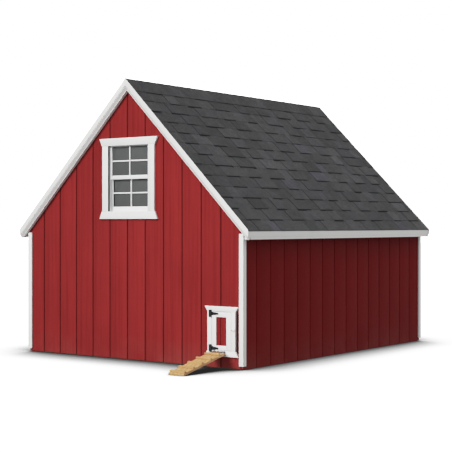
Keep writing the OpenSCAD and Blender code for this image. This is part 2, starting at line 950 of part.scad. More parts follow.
module door_hinge_straps() {
    at_door_hinges() hinge_strap(door_knuckle_r, door_pin_r, door_strap_l, door_knuckle_h, 44, 16,
                                 door_wood_y, door_strap_holes);
}

module door_hinge_pins() {
    color("black") at_door_hinges() {
        translate([0, 0, -door_plate_h / 2 - 1]) cylinder(r = door_pin_r, h = door_plate_h + 2);
        translate([0, 0, door_plate_h / 2 + 0.1]) cylinder(r = door_pin_r + 1.8, h = 2);
    }
}

module door_strap_screws() {
    color("black") at_door_hinges() for (x = door_strap_holes)
        wood_screw(x, 0, door_wood_y, 12);
}

// T handle: rose, spindle through the leaf, and a grip bar that stands upright when free
module door_handle() {
    grip_y = door_face + 42;
    grip_half = 50;
    color("black") {
        rod_y(spindle_r, handle_x, handle_z, frame_y - 9, grip_y);
        rod_y(20, handle_x, handle_z, door_face + 0.4, door_face + 3.4);
        rod_y(8, handle_x, handle_z, door_face + 3, grip_y);
        translate([handle_x, grip_y, handle_z - grip_half]) cylinder(r = 7, h = 2 * grip_half);
        for (k = [-1, 1]) translate([handle_x, grip_y, handle_z + k * grip_half]) sphere(r = 7);
    }
}

module door_cam() {
    y0 = frame_y - 8;
    color("silver") difference() {
        slab([handle_x - 9, y0, handle_z - 9], [handle_x + 9, y0 + 4, handle_z + cam_l]);
        rod_y(spindle_r + 0.02, handle_x, handle_z, y0 - 1, y0 + 5);
    }
}

module hinge_plate_screws() {
    color("black") {
        at_pop_hinges() for (z = pop_plate_holes)
            wood_screw(-(pop_plate_w + pop_knuckle_r + 0.5) / 2, z, pop_wood_y, 13);
        at_door_hinges() for (z = door_plate_holes)
            wood_screw(-(door_plate_w + door_knuckle_r + 0.5) / 2, z, door_wood_y, 18);
    }
}

// ---------- inside ----------

module roost_bars() {
    reach = inner_x - 6;
    color("burlywood") for (y = roost_ys)
        slab([-reach, y - stud_d / 2, roost_z + stud_t + gap],
             [reach, y + stud_d / 2, roost_z + 2 * stud_t]);
}

module roost_cleats() {
    color("burlywood") both_sides()
        slab([inner_x - stud_t, roost_ys[0] - 110, roost_z],
             [inner_x - gap, roost_ys[1] + 110, roost_z + stud_t]);
}

module nest_boxes() {
    y1 = nest_y0 + nest_n * nest_pitch + nest_t;
    x1 = nest_back_x + nest_t + gap;
    floor_z = nest_z + nest_t + gap;
    slope = (nest_back_h - nest_front_h) / nest_depth;
    lid_front = nest_front_x + 24;
    lid_z = nest_z + nest_back_h + gap;
    color("tan") {
        slab([nest_back_x, nest_y0, nest_z], [nest_back_x + nest_t, y1, nest_z + nest_back_h]);
        slab([x1, nest_y0, nest_z], [nest_front_x, y1, nest_z + nest_t]);
        slab([nest_front_x + gap, nest_y0, nest_z], [nest_front_x + gap + nest_t, y1, nest_z + 112]);
        for (i = [0:nest_n]) {
            y = nest_y0 + i * nest_pitch;
            along_y(y, y + nest_t) polygon([
                [x1, floor_z], [nest_front_x, floor_z],
                [nest_front_x, nest_z + nest_front_h], [x1, nest_z + nest_back_h]
            ]);
        }
        along_y(nest_y0, y1) polygon([
            [nest_back_x, lid_z], [x1, lid_z],
            [lid_front, lid_z - slope * (lid_front - x1)],
            [lid_front, lid_z - slope * (lid_front - x1) + nest_t], [nest_back_x, lid_z + nest_t]
        ]);
    }
}

module nest_perch() {
    y1 = nest_y0 + nest_n * nest_pitch + nest_t;
    rail_x = nest_front_x + 65;
    arm_end = rail_x + stud_t;
    color("burlywood") {
        for (y = [nest_y0 + 30, (nest_y0 + y1 - stud_t) / 2, y1 - stud_t - 30])
            slab([nest_back_x, y, nest_z - gap - stud_t], [arm_end, y + stud_t, nest_z - gap]);
        slab([rail_x, nest_y0, nest_z], [arm_end, y1, nest_z + stud_t]);
    }
}

floor_rim();
floor_joists();
floor_deck();
left_wall_frame();
right_wall_frame();
front_wall_frame();
back_wall_frame();
rafters();
collar_ties();
ridge_board();
front_siding();
back_siding();
left_siding();
right_siding();
front_corner_trims();
back_corner_trims();
front_rake_boards();
back_rake_boards();
left_fascia();
right_fascia();
eave_soffits();
left_roof_deck();
right_roof_deck();
left_shingles();
right_shingles();
ridge_cap();
window_trim();
window_frame();
upper_sash();
upper_glass();
lower_sash();
lower_glass();
pop_door_trim();
pop_door_frame();
pop_door_panel();
pop_hinge_plates();
pop_hinge_straps();
pop_hinge_pins();
pop_strap_screws();
pop_latch_button();
pop_latch_screw();
ramp_board();
ramp_cleats();
ramp_hinge_bracket();
ramp_hinge_eyes();
ramp_hinge_pin();
door_trim();
door_frame();
door_panel();
door_hinge_plates();
door_hinge_straps();
door_hinge_pins();
door_strap_screws();
door_handle();
door_cam();
hinge_plate_screws();
roost_bars();
roost_cleats();
nest_boxes();
nest_perch();
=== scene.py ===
"""Looks of the walk-in chicken coop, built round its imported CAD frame. Metres, in the row frame:
+Z up, the gable with the window and the birds' door faces -Y, and the right-hand wall faces +X."""

import math
import random

import bmesh
import bpy
from mathutils import Matrix, Vector


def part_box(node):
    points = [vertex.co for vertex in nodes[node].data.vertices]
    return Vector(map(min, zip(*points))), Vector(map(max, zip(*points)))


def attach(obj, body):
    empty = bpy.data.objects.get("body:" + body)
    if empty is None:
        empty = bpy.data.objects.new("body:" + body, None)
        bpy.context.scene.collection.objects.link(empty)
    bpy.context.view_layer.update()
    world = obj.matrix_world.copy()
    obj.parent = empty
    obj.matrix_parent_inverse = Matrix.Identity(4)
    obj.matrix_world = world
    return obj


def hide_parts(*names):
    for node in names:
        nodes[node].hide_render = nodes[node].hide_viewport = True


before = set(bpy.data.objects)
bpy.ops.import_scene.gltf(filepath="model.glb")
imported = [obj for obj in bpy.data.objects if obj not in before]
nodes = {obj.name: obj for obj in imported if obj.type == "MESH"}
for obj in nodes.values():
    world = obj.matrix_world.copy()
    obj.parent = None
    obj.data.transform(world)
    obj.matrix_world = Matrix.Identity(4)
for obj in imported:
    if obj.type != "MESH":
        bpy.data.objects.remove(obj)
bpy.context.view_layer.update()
scene = bpy.context.scene
MM = 0.001

# ---------- camera ----------

CAMERA_PLACE = Vector((6.806, -9.250, 1.177))
CAMERA_AZIMUTH = math.radians(36.69)
CAMERA_PITCH = math.radians(-0.072)
CAMERA_LENS = 94.15

camera_data = bpy.data.cameras.new("camera")
camera_data.sensor_width = 36
camera_data.lens = CAMERA_LENS
camera_data.clip_end = 200
camera = bpy.data.objects.new("camera", camera_data)
camera.location = CAMERA_PLACE
camera.rotation_euler = (math.pi / 2 + CAMERA_PITCH, 0, CAMERA_AZIMUTH)
scene.collection.objects.link(camera)
scene.camera = camera

# ---------- colours, scene linear, and places of paint ----------

BARN_RED = (0.216, 0.0195, 0.0200)
# Darker copy of the barn red for the side walls: painted shade, for the less light they get
BARN_RED_SHADED = (0.166, 0.0072, 0.0078)
DEEP_RED = (0.145, 0.0085, 0.0090)
TRIM_WHITE = (0.815, 0.812, 0.80)
TRIM_GREY = (0.70, 0.69, 0.66)
VINYL_WHITE = (0.82, 0.825, 0.82)
PINE = (0.62, 0.38, 0.185)
PINE_DARK = (0.40, 0.205, 0.085)
KNOT_BROWN = (0.13, 0.055, 0.022)
LUMBER = (0.60, 0.42, 0.235)
LUMBER_DARK = (0.42, 0.265, 0.13)
LUMBER_TREATED = (0.115, 0.095, 0.062)
LUMBER_TREATED_DARK = (0.060, 0.048, 0.032)
PLY = (0.56, 0.40, 0.235)
PLY_DARK = (0.38, 0.245, 0.125)
GRANULE = (0.073, 0.073, 0.074)
GRANULE_VIOLET = (0.106, 0.101, 0.124)
# Dark band colour: print, placed as painted shadow below and beside the shingle teeth
SHADOW_BAND = (0.013, 0.013, 0.015)
GRAINS_PER_METRE = 620
IRON_BLACK = (0.010, 0.011, 0.012)
IRON_GREY = (0.030, 0.030, 0.031)
ZINC = (0.56, 0.57, 0.58)
PANE_GREY = (0.125, 0.128, 0.128)
SOIL = (0.20, 0.165, 0.13)
# Dark red for dirt and painted shade in the grooves, and for painted shade in the shade zones
SHADE_AND_DIRT_RED = (0.055, 0.0035, 0.0045)

# Where the paint is darkened as painted shade: an axis, the place on it where the darkening starts, and
# where it is full
SHADE_UNDER_EAVES = (("Z", 0.82, 1.15),)
SHADE_BESIDE_BIRD_DOOR = (("X", 1.120, 1.138), ("Y", -1.40, -1.45), ("Z", 0.115, 0.140), ("Z", 0.475, 0.440))

# Grooves of the siding: their spacing, the X of one on the gables, half widths of its dark and faded
# parts, and how much of the dark red of dirt and painted shade it takes
GROOVE_PITCH = 0.2032
GROOVE_X = -0.018
GROOVE_DARK_HALF = 6.2 * MM
GROOVE_FADE_HALF = 7.2 * MM
GROOVE_DIRT_AND_SHADE_SHARE = 0.6


# ---------- material graphs ----------

RANGE_SOCKETS = ("From Min", "From Max", "To Min", "To Max")

# Places of the colour sockets among all the sockets of a mix node
MIX_A = 6
MIX_B = 7
MIX_RESULT = 2


class Graph:
    """Short calls that build one material out of nodes. Patterns are laid out in the row frame."""

    def __init__(self, name):
        self.material = bpy.data.materials.new(name)
        self.material.use_nodes = True
        self.tree = self.material.node_tree
        self.surface = self.tree.nodes["Principled BSDF"]
        self.place = self.add("ShaderNodeTexCoord").outputs["Object"]

    def add(self, kind, **settings):
        node = self.tree.nodes.new(kind)
        for key, value in settings.items():
            setattr(node, key, value)
        return node

    def feed(self, socket, value):
        if isinstance(value, bpy.types.NodeSocket):
            self.tree.links.new(value, socket)
        elif isinstance(value, tuple) and socket.type == "RGBA":
            socket.default_value = (*value, 1)
        else:
            socket.default_value = value

    def stretch(self, scale):
        """The row frame's coordinates, scaled along each axis."""
        node = self.add("ShaderNodeMapping")
        self.feed(node.inputs["Vector"], self.place)
        node.inputs["Scale"].default_value = scale
        return node.outputs[0]

    def noise(self, vector, scale=1.0, detail=3.0, rough=0.5):
        node = self.add("ShaderNodeTexNoise")
        self.feed(node.inputs["Vector"], vector)
        node.inputs["Scale"].default_value = scale
        node.inputs["Detail"].default_value = detail
        node.inputs["Roughness"].default_value = rough
        return node.outputs["Fac"]

    def cells(self, vector, scale=1.0, feature="F1", output="Distance"):
        node = self.add("ShaderNodeTexVoronoi", feature=feature)
        self.feed(node.inputs["Vector"], vector)
        node.inputs["Scale"].default_value = scale
        return node.outputs[output]

    def remap(self, value, low, high, to_low=0.0, to_high=1.0):
        node = self.add("ShaderNodeMapRange", clamp=True)
        self.feed(node.inputs["Value"], value)
        for name, number in zip(RANGE_SOCKETS, (low, high, to_low, to_high)):
            node.inputs[name].default_value = number
        return node.outputs["Result"]

    def calc(self, operation, *values):
        node = self.add("ShaderNodeMath", operation=operation)
        for socket, value in zip(node.inputs, values):
            self.feed(socket, value)
        return node.outputs[0]

    def mix(self, share, a, b):
        """Colour a, turning into colour b as the share grows."""
        node = self.add("ShaderNodeMix", data_type="RGBA")
        self.feed(node.inputs["Factor"], share)
        self.feed(node.inputs[MIX_A], a)
        self.feed(node.inputs[MIX_B], b)
        return node.outputs[MIX_RESULT]

    def axis(self, name):
        node = self.add("ShaderNodeSeparateXYZ")
        self.feed(node.inputs[0], self.place)
        return node.outputs[name]

    def channels(self, colour):
        """Outputs Red, Green and Blue of a colour."""
        node = self.add("ShaderNodeSeparateColor")
        self.feed(node.inputs[0], colour)
        return node.outputs

    def bump(self, height, depth, normal=None):
        node = self.add("ShaderNodeBump")
        self.feed(node.inputs["Height"], height)
        node.inputs["Distance"].default_value = depth
        if normal is not None:
            self.feed(node.inputs["Normal"], normal)
        return node.outputs[0]

    def finish(self, colour, rough, normal=None, **constants):
        """Feeds the surface. constants are values of the shader's other sockets, by their names."""
        self.feed(self.surface.inputs["Base Color"], colour)
        self.feed(self.surface.inputs["Roughness"], rough)
        if normal is not None:
            self.feed(self.surface.inputs["Normal"], normal)
        for name, value in constants.items():
            self.surface.inputs[name.replace("_", " ")].default_value = value
        return self.material


def grain_scale(along, across_rate, along_rate):
    """Pattern rates per metre for a board whose grain runs along one axis."""
    return tuple(along_rate if axis == along else across_rate for axis in "XYZ")


def tinted(colour, level):
    return tuple(level * c for c in colour)


def red_paint(name, red, grooved=False, shade_zones=(), shade_share=0.0):
    """Barn-red stain on rough-sawn siding: fine upright grain, softly uneven colour, dust low down, grooves
    darkened with dirt and painted shade where the siding is a gable's, and painted shade in the zones given."""
    g = Graph(name)
    grain = g.noise(g.stretch(grain_scale("Z", 260, 5)), detail=5, rough=0.62)
    streak = g.noise(g.stretch(grain_scale("Z", 34, 0.9)), detail=3)
    cloud = g.noise(g.place, scale=1.7, detail=4, rough=0.6)
    tone = g.mix(g.remap(cloud, 0.34, 0.68), red, tinted(red, 1.13))
    tone = g.mix(g.remap(streak, 0.46, 0.72, 0, 0.42), tone, DEEP_RED)
    tone = g.mix(g.remap(grain, 0.55, 0.78, 0, 0.34), tone, DEEP_RED)
    splash = g.calc("MULTIPLY", g.remap(g.axis("Z"), 0.02, 0.22, 1, 0), g.remap(cloud, 0.40, 0.62))
    tone = g.mix(g.calc("MULTIPLY", splash, 0.10), tone, SOIL)
    # Dirt and painted shade: the gable's grooves are darkened towards the dark red
    if grooved:
        bay = g.calc("DIVIDE", g.calc("SUBTRACT", g.axis("X"), GROOVE_X), GROOVE_PITCH)
        # Distance to the nearest groove, in bays. The added 100 keeps what FRACT is given positive.
        off = g.calc("ABSOLUTE", g.calc("SUBTRACT", g.calc("FRACT", g.calc("ADD", bay, 100.5)), 0.5))
        dark, fade = GROOVE_DARK_HALF / GROOVE_PITCH, GROOVE_FADE_HALF / GROOVE_PITCH
        tone = g.mix(g.remap(off, dark, fade, GROOVE_DIRT_AND_SHADE_SHARE, 0), tone, SHADE_AND_DIRT_RED)
    normal = g.bump(grain, 0.9 * MM, g.bump(streak, 1.4 * MM))
    # Painted shade: the given zones are darkened where shade falls under the eaves or in a narrow gap
    for axis, outer, inner in shade_zones:
        shade_share = g.calc("MULTIPLY", g.remap(g.axis(axis), outer, inner), shade_share)
    if shade_zones:
        tone = g.mix(shade_share, tone, SHADE_AND_DIRT_RED)
    return g.finish(tone, g.remap(grain, 0.3, 0.8, 0.52, 0.72), normal, Specular_IOR_Level=0.08)


def white_paint(name, along, painted_lift=1.0):
    """White enamel on dressed board: brush marks along it, a little sag, and grey in the hollows."""
    g = Graph(name)
    brush = g.noise(g.stretch(grain_scale(along, 420, 7)), detail=4, rough=0.6)
    sag = g.noise(g.place, scale=9, detail=2)
    cloud = g.noise(g.place, scale=2.3, detail=5, rough=0.65)
    # Painted light: the lift makes a lighter copy of the white, for boards that face sideways
    white = tinted(TRIM_WHITE, painted_lift)
    tone = g.mix(g.remap(cloud, 0.38, 0.70, 0, 0.5), white, tinted(white, 0.94))
    tone = g.mix(g.remap(brush, 0.52, 0.80, 0, 0.20), tone, TRIM_GREY)
    splash = g.calc("MULTIPLY", g.remap(g.axis("Z"), 0.03, 0.20, 1, 0), g.remap(cloud, 0.42, 0.66))
    tone = g.mix(g.calc("MULTIPLY", splash, 0.14), tone, SOIL)
    normal = g.bump(brush, 0.25 * MM, g.bump(sag, 0.8 * MM))
    return g.finish(tone, g.remap(brush, 0.3, 0.8, 0.36, 0.52), normal, Specular_IOR_Level=0.35)


def vinyl(name):
    """Moulded white window profile: smooth, with a faint orange-peel skin."""
    g = Graph(name)
    peel = g.noise(g.place, scale=520, detail=2)
    cloud = g.noise(g.place, scale=6, detail=4)
    tone = g.mix(g.remap(cloud, 0.35, 0.7, 0, 0.6), VINYL_WHITE, tinted(VINYL_WHITE, 0.95))
    rough = g.remap(cloud, 0.3, 0.7, 0.26, 0.36)
    return g.finish(tone, rough, g.bump(peel, 0.06 * MM), Specular_IOR_Level=0.45)


def bare_wood(name, light, dark, along, knots=2.2, rough=0.62):
    """Sawn softwood: growth bands along the board, fine pores, and a few knots."""
    g = Graph(name)
    bands = g.add("ShaderNodeTexWave", wave_type="BANDS", bands_direction="DIAGONAL")
    g.feed(bands.inputs["Vector"], g.stretch(grain_scale(along, 9, 0.55)))
    for key, value in (("Scale", 1.6), ("Distortion", 7.5), ("Detail", 2.5), ("Detail Scale", 1.1)):
        bands.inputs[key].default_value = value
    pores = g.noise(g.stretch(grain_scale(along, 520, 9)), detail=4, rough=0.65)
    cloud = g.noise(g.place, scale=3.1, detail=3)
    knot = g.cells(g.stretch(grain_scale(along, 2.6 * knots, knots)))
    tone = g.mix(g.remap(bands.outputs["Fac"], 0.30, 0.95, 0.04, 0.62), light, dark)
    tone = g.mix(g.remap(pores, 0.50, 0.78, 0, 0.45), tone, dark)
    tone = g.mix(g.remap(cloud, 0.35, 0.7, 0, 0.30), tone, tinted(light, 0.82))
    tone = g.mix(g.remap(knot, 0.050, 0.105, 0.9, 0), tone, KNOT_BROWN)
    normal = g.bump(pores, 0.5 * MM, g.bump(bands.outputs["Fac"], 0.5 * MM))
    uneven = g.remap(pores, 0.3, 0.8, rough - 0.06, rough + 0.10)
    return g.finish(tone, uneven, normal, Specular_IOR_Level=0.3)


def shingle_granules(name):
    """Ceramic-coated granules pressed into asphalt. Each tab keeps its brightness, its share of violet
    and its share of shadow band in the mesh, as the red, green and blue of tab_tone."""
    g = Graph(name)
    own = g.channels(g.add("ShaderNodeAttribute", attribute_name="tab_tone").outputs["Color"])
    speck = g.channels(g.cells(g.place, scale=GRAINS_PER_METRE, output="Color"))["Red"]
    cloud = g.noise(g.place, scale=14, detail=5, rough=0.7)
    worn = g.noise(g.place, scale=2.6, detail=3)
    bright = g.calc("MULTIPLY", own["Red"], g.remap(speck, 0, 1, 0.45, 1.55))
    bright = g.calc("MULTIPLY", bright, g.remap(cloud, 0.3, 0.7, 0.80, 1.16))
    bright = g.calc("MULTIPLY", bright, g.remap(worn, 0.35, 0.65, 0.93, 1.07))
    scaled = g.add("ShaderNodeVectorMath", operation="SCALE")
    g.feed(scaled.inputs[0], g.mix(own["Green"], GRANULE, GRANULE_VIOLET))
    g.feed(scaled.inputs["Scale"], bright)
    grit = g.cells(g.place, scale=GRAINS_PER_METRE)
    tone = g.mix(own["Blue"], scaled.outputs[0], SHADOW_BAND)
    return g.finish(tone, g.remap(grit, 0, 0.6, 0.80, 0.95), g.bump(grit, 0.9 * MM), Specular_IOR_Level=0.2)


def black_iron(name):
    """Powder-coated iron: hammered lightly, rubbed a little greyer where the coat is thin."""
    g = Graph(name)
    dents = g.cells(g.place, scale=240, feature="SMOOTH_F1")
    cloud = g.noise(g.place, scale=60, detail=4)
    tone = g.mix(g.remap(cloud, 0.52, 0.75, 0, 0.7), IRON_BLACK, IRON_GREY)
    return g.finish(tone, g.remap(cloud, 0.3, 0.7, 0.34, 0.52), g.bump(dents, 0.35 * MM))


def zinc_plate(name):
    """Galvanised steel: pale crystals in the coating and fine scratches."""
    g = Graph(name)
    crystal = g.channels(g.cells(g.place, scale=130, output="Color"))
    scratch = g.noise(g.stretch(grain_scale("Y", 900, 40)), detail=3)
    tone = g.mix(g.remap(crystal["Red"], 0, 1, 0, 0.5), ZINC, tinted(ZINC, 0.7))
    rough = g.remap(crystal["Green"], 0, 1, 0.26, 0.42)
    rough = g.calc("ADD", rough, g.remap(scratch, 0.5, 0.8, 0, 0.1))
    return g.finish(tone, rough, g.bump(scratch, 0.05 * MM), Metallic=1.0)


def pane(name):
    """Window glass with a thin film of coop dust on it."""
    g = Graph(name)
    film = g.noise(g.place, scale=11, detail=5, rough=0.6)
    tone = g.mix(g.remap(film, 0.3, 0.75), PANE_GREY, tinted(PANE_GREY, 0.88))
    return g.finish(tone, g.remap(film, 0.3, 0.7, 0.03, 0.07), Transmission_Weight=0.30, IOR=1.5)


# Gable red: dirt and painted shade in the grooves, and painted shade in the narrow gap beside the bird door
gable_red = red_paint("gable_red", BARN_RED, grooved=True, shade_zones=SHADE_BESIDE_BIRD_DOOR, shade_share=0.95)
# Side walls: the darker red is painted shade, with more painted shade under the eaves
side_red_painted_shade = red_paint("side_red_painted_shade", BARN_RED_SHADED, shade_zones=SHADE_UNDER_EAVES, shade_share=0.5)
plain_red = red_paint("plain_red", BARN_RED)
trim_upright = white_paint("trim_upright", "Z")
trim_level = white_paint("trim_level", "X")
# Fascia and soffits: a lighter copy of the white, painted light for the side-facing boards
trim_long_painted_light = white_paint("trim_long_painted_light", "Y", painted_lift=1.10)
window_vinyl = vinyl("window_vinyl")
lumber_up = bare_wood("lumber_up", LUMBER, LUMBER_DARK, "Z")
lumber_across = bare_wood("lumber_across", LUMBER, LUMBER_DARK, "X")
lumber_treated = bare_wood("lumber_treated", LUMBER_TREATED, LUMBER_TREATED_DARK, "X", rough=0.7)
lumber_long = bare_wood("lumber_long", LUMBER, LUMBER_DARK, "Y")
pine_long = bare_wood("pine_long", PINE, PINE_DARK, "Y", knots=3.4, rough=0.58)
pine_across = bare_wood("pine_across", PINE, PINE_DARK, "X", knots=3.4, rough=0.58)
plywood = bare_wood("plywood", PLY, PLY_DARK, "Y", knots=1.1, rough=0.66)
granules = shingle_granules("granules")
iron = black_iron("iron")
zinc = zinc_plate("zinc")
glass = pane("glass")
# Black for the dark strips that stand as painted shade at the window
shade_strip_black = black_iron("shade_strip_black")

# ---------- finish of the CAD nodes: material, and width of the eased edges in mm ----------

FINISHES = {
    gable_red: (1.0, ["front_siding", "back_siding", "pop_door_panel", "door_panel"]),
    side_red_painted_shade: (1.0, ["left_siding", "right_siding"]),
    plain_red: (1.0, ["floor_rim"]),
    trim_upright: (1.5, ["front_corner_trims", "back_corner_trims", "window_trim", "pop_door_trim",
                         "door_trim", "pop_door_frame", "door_frame", "pop_latch_button"]),
    trim_level: (1.5, ["front_rake_boards", "back_rake_boards"]),
    trim_long_painted_light: (1.5, ["left_fascia", "right_fascia", "eave_soffits"]),
    window_vinyl: (1.2, ["window_frame", "upper_sash", "lower_sash"]),
    lumber_up: (2.5, ["left_wall_frame", "right_wall_frame", "front_wall_frame", "back_wall_frame"]),
    lumber_treated: (2.5, ["floor_joists"]),
    lumber_across: (2.5, ["rafters", "collar_ties", "roost_bars"]),
    lumber_long: (2.5, ["ridge_board", "roost_cleats"]),
    plywood: (0.6, ["floor_deck", "left_roof_deck", "right_roof_deck", "nest_boxes"]),
    pine_long: (1.8, ["ramp_board", "nest_perch"]),
    pine_across: (1.8, ["ramp_cleats"]),
    iron: (0.4, ["pop_hinge_plates", "pop_hinge_straps", "pop_hinge_pins", "pop_strap_screws",
                 "door_hinge_plates", "door_hinge_straps", "door_hinge_pins", "door_strap_screws",
                 "door_handle", "hinge_plate_screws"]),
    zinc: (0.4, ["pop_latch_screw", "ramp_hinge_bracket", "ramp_hinge_eyes", "ramp_hinge_pin", "door_cam"]),
    glass: (0.2, ["upper_glass", "lower_glass"]),
}


def ease_edges(obj, width):
    """Joins the CAD faces' shared corners and rounds the sharp edges."""
    weld = obj.modifiers.new("weld", "WELD")
    weld.merge_threshold = 0.02 * MM
    flat = obj.modifiers.new("flat", "DECIMATE")
    flat.decimate_type = "DISSOLVE"
    flat.angle_limit = math.radians(0.5)
    bevel = obj.modifiers.new("bevel", "BEVEL")
    bevel.width = width * MM
    bevel.segments = 2
    bevel.limit_method = "ANGLE"
    bevel.angle_limit = math.radians(32)
    bevel.harden_normals = True


def dress(obj, material, width):
    obj.data.materials.clear()
    obj.data.materials.append(material)
    for face in obj.data.polygons:
        face.use_smooth = True
    ease_edges(obj, width)


for material, (width, names) in FINISHES.items():
    for name in names:
        dress(nodes[name], material, width)


# ---------- added pieces ----------


def put(name, mesh, material, body, stands_for=()):
    """Makes a visible piece of a bmesh. It rides on one body and may stand for CAD nodes."""
    data = bpy.data.meshes.new(name)
    mesh.to_mesh(data)
    mesh.free()
    data.materials.append(material)
    obj = bpy.data.objects.new(name, data)
    scene.collection.objects.link(obj)
    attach(obj, body)
    if stands_for:
        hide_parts(*stands_for)


# ---------- shingles ----------

COURSES = 14
COURSE_LAP = 4 * MM

# Thicknesses, and heights above the roof deck: top and underside of a tab at its foot, and its
# underside at its head, where its top is as high as the next tab's underside
LAYER = 2.4 * MM
TOOTH = 2.6 * MM
TOOTH_HEAD_SHARE = 0.75
SHEET_GAP = 0.2 * MM
BUTT_TOP = 5.2 * MM
UNDER = BUTT_TOP - LAYER
HEAD_UNDER = BUTT_TOP - 2 * LAYER

# Widths along the roof of the thick teeth and of the spaces between them, the narrowest that is laid,
# the most that a course's first one is cut by, and how far a tooth's head is wider at each side
TOOTH_WIDTHS = (0.130, 0.260)
SPACE_WIDTHS = (0.100, 0.240)
NARROWEST = 6 * MM
FIRST_CUT = 0.12
FLARES_MM = (4, 13)
FAR_FLARE_SHARE = 0.4

# The dark band below each tooth, and beside some of them: printed like a shingle's shadow band, and placed
# as painted shadow where a tooth's butt and side throw shade
BAND_DROP = 13 * MM
BAND_DROP_SHARES = (0.6, 1.35)
BAND_LAP = 2 * MM
BAND_SIDE = 7 * MM
BAND_SIDE_SHARE = 0.68
BAND_LIFT = 0.25 * MM
BAND_TOOTH_SHARE = 0.8

# Tones: brightness, share of violet, share of shadow band
STARTER_TONE = (0.9, 0.5, 0)
# Tone of the dark bands: print and painted shadow
SHADED = (1.0, 0.0, 1.0)
VIOLET_SHARE = 0.04
PALE_SHARE = 0.05
PALE_LEVEL = 1.22
TAB_LEVELS = (0.88, 0.95, 1.0, 1.05, 1.11)


def paint_face(face, layer, tone):
    for corner in face.loops:
        corner[layer] = (*tone, 1)


class Sheet:
    """Collects closed wedges of shingle on one roof slope, +X (side 1) or -X (side -1), each with its
    own tone."""

    def __init__(self, side):
        self.side = side
        self.low, self.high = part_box("right_shingles")
        self.mesh = bmesh.new()
        self.tone = self.mesh.loops.layers.float_color.new("tab_tone")

    def point(self, up, along, height):
        """A point up the slope from the eave, along the roof, and above the deck."""
        x = self.high.x - (up - height) / math.sqrt(2)
        z = self.low.z + (up + height) / math.sqrt(2)
        return Vector((self.side * x, along, z))

    def wedge(self, foot, head, foot_span, head_span, foot_heights, head_heights, tone):
        """A closed slab from foot to head up the slope. Spans are (start, end) along the roof and
        heights are (bottom, top) above the deck."""
        corners = [
            self.mesh.verts.new(self.point(up, span[i], heights[k]))
            for up, span, heights in ((foot, foot_span, foot_heights), (head, head_span, head_heights))
            for k in (0, 1) for i in (0, 1)
        ]
        sides = ((0, 1, 3, 2), (5, 4, 6, 7), (4, 0, 2, 6), (1, 5, 7, 3), (2, 3, 7, 6), (4, 5, 1, 0))
        for side in sides:
            loop = [corners[i] for i in side]
            face = self.mesh.faces.new(loop if self.side > 0 else loop[::-1])
            paint_face(face, self.tone, tone)


def tab_tone(rng):
    """A tab's brightness, its share of violet, and its share of shadow band."""
    violet = rng.uniform(0.45, 0.85) if rng.random() < VIOLET_SHARE else rng.uniform(0, 0.15)
    bright = PALE_LEVEL if rng.random() < PALE_SHARE else rng.choice(TAB_LEVELS)
    return bright * rng.uniform(0.97, 1.03), violet, 0.0


def add_tooth(sheet, rng, foot, head, lap, near, far, has_band):
    """Thick tooth from near to far along the roof, wider at its head, with its shadow bands."""
    start, end = sheet.low.y, sheet.high.y
    flare = rng.uniform(*FLARES_MM) * MM
    head_near, head_far = max(near - flare, start), min(far + flare * FAR_FLARE_SHARE, end)
    sheet.wedge(foot, head + lap, (near, far), (head_near, head_far), (UNDER, BUTT_TOP + TOOTH),
                (HEAD_UNDER, UNDER + TOOTH_HEAD_SHARE * TOOTH), tab_tone(rng))
    dark, head_dark = max(near - BAND_SIDE, start), max(head_near - BAND_SIDE, start)
    if head_near > head_dark and rng.random() < BAND_SIDE_SHARE:
        sheet.wedge(foot, head, (dark, near), (head_dark, head_near), (UNDER, BUTT_TOP + BAND_LIFT),
                    (HEAD_UNDER, UNDER + BAND_LIFT), SHADED)
    if has_band:
        drop = BAND_DROP * rng.uniform(*BAND_DROP_SHARES)
        heights = (HEAD_UNDER, UNDER + BAND_TOOTH_SHARE * TOOTH + BAND_LIFT)
        span = (dark, far)
        sheet.wedge(foot - drop, foot + BAND_LAP, span, span, heights, heights, SHADED)


def tile_slope(side, name, node, seed):
    """Laminated shingles: each course is a row of plain tabs, and every other tab has a thick tooth."""
    rng = random.Random(seed)
    sheet = Sheet(side)
    start, end = sheet.low.y, sheet.high.y
    eave = BUTT_TOP + TOOTH
    length = math.sqrt(2) * (sheet.high.x - sheet.low.x)
    reveal = (length - eave) / COURSES
    roof, flat = (start, end), (SHEET_GAP, LAYER)
    sheet.wedge(eave, eave + reveal, roof, roof, flat, flat, STARTER_TONE)
    for course in range(COURSES):
        foot = eave + course * reveal
        head = foot + reveal
        lap = 0 if course == COURSES - 1 else COURSE_LAP
        y = start - rng.uniform(0, FIRST_CUT)
        tooth = rng.random() < 0.5
        while y < end:
            width = rng.uniform(*(TOOTH_WIDTHS if tooth else SPACE_WIDTHS))
            near, far = max(y, start), min(y + width, end)
            if far - near > NARROWEST:
                span = (near, far)
                sheet.wedge(foot, head + lap, span, span, (UNDER, BUTT_TOP), (HEAD_UNDER, UNDER),
                            tab_tone(rng))
                if tooth:
                    add_tooth(sheet, rng, foot, head, lap, near, far, course > 0)
            y += width
            tooth = not tooth
    put(name, sheet.mesh, granules, "coop", [node])


tile_slope(1, "right_slope_tabs", "right_shingles", 11)
tile_slope(-1, "left_slope_tabs", "left_shingles", 12)

# Ridge caps: the length of each that shows and is lapped, the drop of its far end, the slope length of
# each half, its thickness along the middle and at the edges, how far the edges sink below a 45 degree
# slope, and the fold's half width and drop
CAP_REVEAL = 0.143
CAP_LAP = 0.030
CAP_STEP = 3.12 * MM
CAP_SPAN = 0.150
CAP_T = 9 * MM
CAP_EDGE_T = 1.0 * MM
CAP_SINK = 9.2 * MM
CAP_FOLD = 5 * MM
CAP_FOLD_DROP = 0.55 * CAP_FOLD


